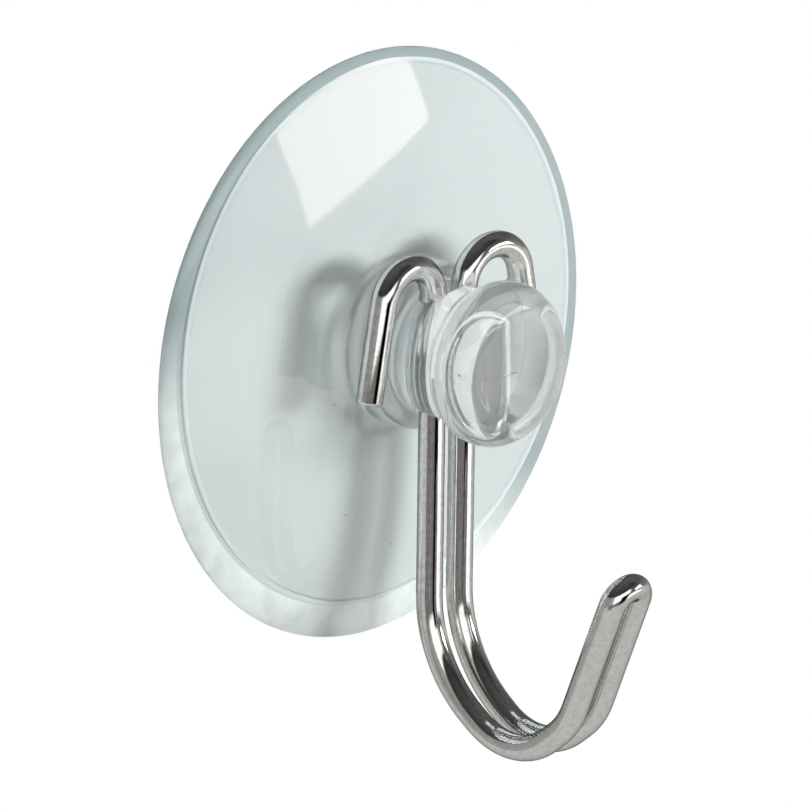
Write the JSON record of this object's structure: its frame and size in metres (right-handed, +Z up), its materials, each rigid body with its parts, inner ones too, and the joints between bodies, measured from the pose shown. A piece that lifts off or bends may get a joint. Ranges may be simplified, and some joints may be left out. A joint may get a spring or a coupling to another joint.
{
  "type": "suction cup hook",
  "caption": "Clear domed suction cup with a slotted neck and round knob that carries a doubled chrome wire hook.",
  "frame": {"origin": "centre of the cup's rim, on the plane of the wall that it seals against", "axes": "+Y into the wall, so the cup's front and the hook face -Y; +Z up with the hook's J at the bottom; +X to the right, seen from the front"},
  "size_m": [0.0449, 0.027, 0.051],
  "materials": {
    "clear_pvc": "gloss",
    "bright_wire": "polished"
  },
  "bodies": {
    "root": {"suction_cup": "clear_pvc", "wire_hook": "bright_wire"}
  },
  "joints": []
}
